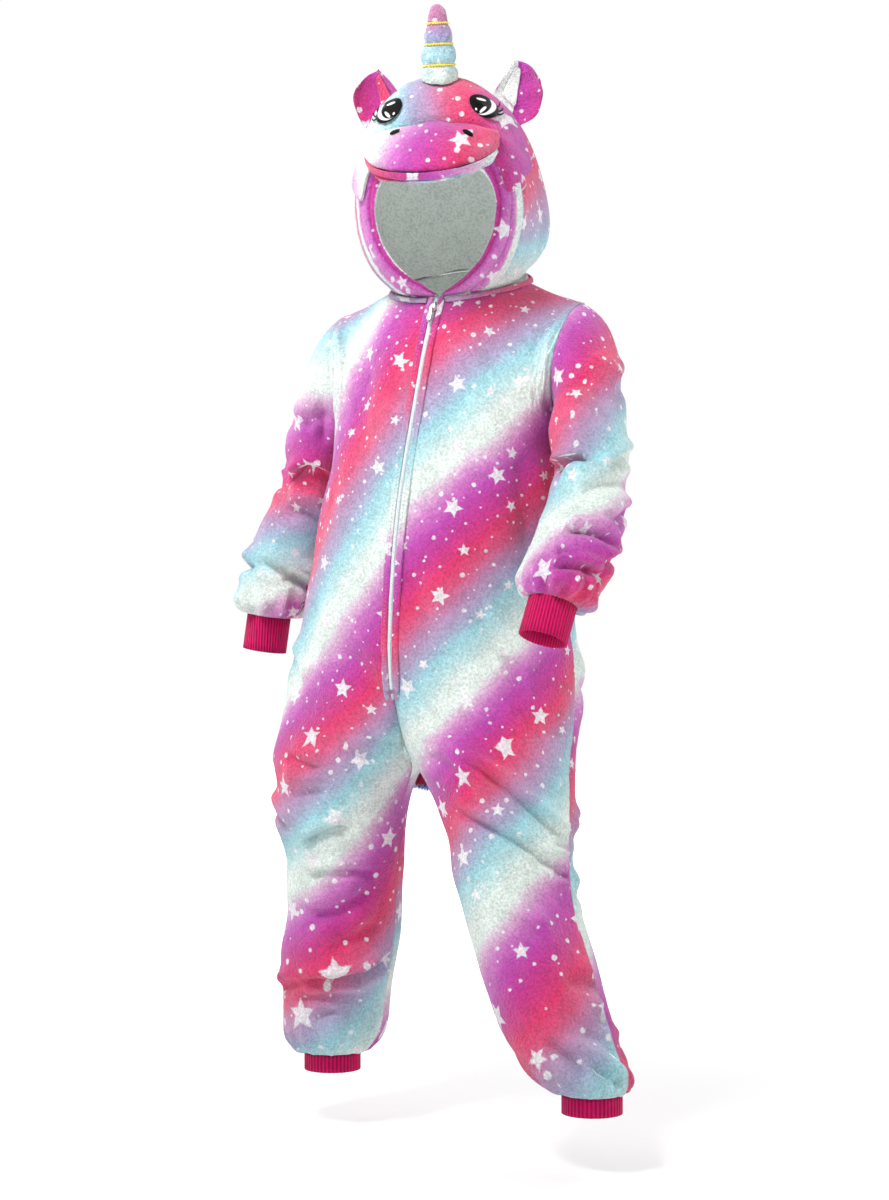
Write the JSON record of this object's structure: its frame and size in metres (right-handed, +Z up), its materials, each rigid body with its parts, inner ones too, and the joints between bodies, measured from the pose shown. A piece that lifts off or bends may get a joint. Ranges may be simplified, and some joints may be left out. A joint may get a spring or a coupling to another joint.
{
  "type": "hooded onesie",
  "caption": "Child's hooded plush onesie as a unicorn, worn and hollow, with stuffed horn, ears, snout, crest and tail, centre front zip and ribbed cuffs.",
  "frame": {"origin": "middle of the neck ring, where the wearer's shoulders carry the garment", "axes": "+Z up, the garment's front faces -Y, the wearer's left is +X"},
  "size_m": [0.5718, 0.3566, 1.269],
  "materials": {
    "plush": "short pile fleece, printed with soft diagonal colour bands, stars and dots",
    "plush_pale": "short pile fleece",
    "ear_plush": "short pile fleece",
    "lip_plush": "short pile fleece",
    "crest_plush": "stuffed short pile fleece",
    "tail_plush": "long pile locks, blue at the tips",
    "rib_knit": "ribbed knit",
    "embroidery": "satin stitch",
    "gold_cord": "metallic twisted cord",
    "zip_tape": "moulded teeth on woven tape",
    "zip_metal": "plated zinc casting"
  },
  "bodies": {
    "onesie": {"ankle_cuff_left": "rib_knit", "ankle_cuff_right": "rib_knit", "back_left": "plush", "back_right": "plush", "ear_inner_left": "plush_pale", "ear_inner_right": "plush_pale", "ear_outer_left": "ear_plush", "ear_outer_right": "ear_plush", "eye_left": "embroidery", "eye_right": "embroidery", "face_band_left": "plush", "face_band_right": "plush", "forehead": "plush", "front_left": "plush", "front_right": "plush", "gusset": "plush", "hood_crown": "plush", "hood_left": "plush", "hood_right": "plush", "horn": "plush_pale", "horn_cord_1": "gold_cord", "horn_cord_2": "gold_cord", "horn_cord_3": "gold_cord", "mane": "crest_plush", "neck_band": "plush", "nostril_left": "embroidery", "nostril_right": "embroidery", "placket_left": "plush", "placket_right": "plush", "sleeve_left": "plush", "sleeve_right": "plush", "snout_lip": "lip_plush", "snout_top": "plush", "snout_under": "plush", "tail": "tail_plush", "wrist_cuff_left": "rib_knit", "wrist_cuff_right": "rib_knit", "zip_chain": "zip_tape", "zip_slider": "zip_metal"},
    "pull_tab": {"zip_pull": "zip_metal"}
  },
  "joints": [
    {"name": "pull_hinge", "type": "hinge", "parent": "onesie", "child": "pull_tab", "pos_m": [0, -0.08627, -0.03021], "axis": [-1, 0, 0], "range_deg": [0, 140]}
  ]
}
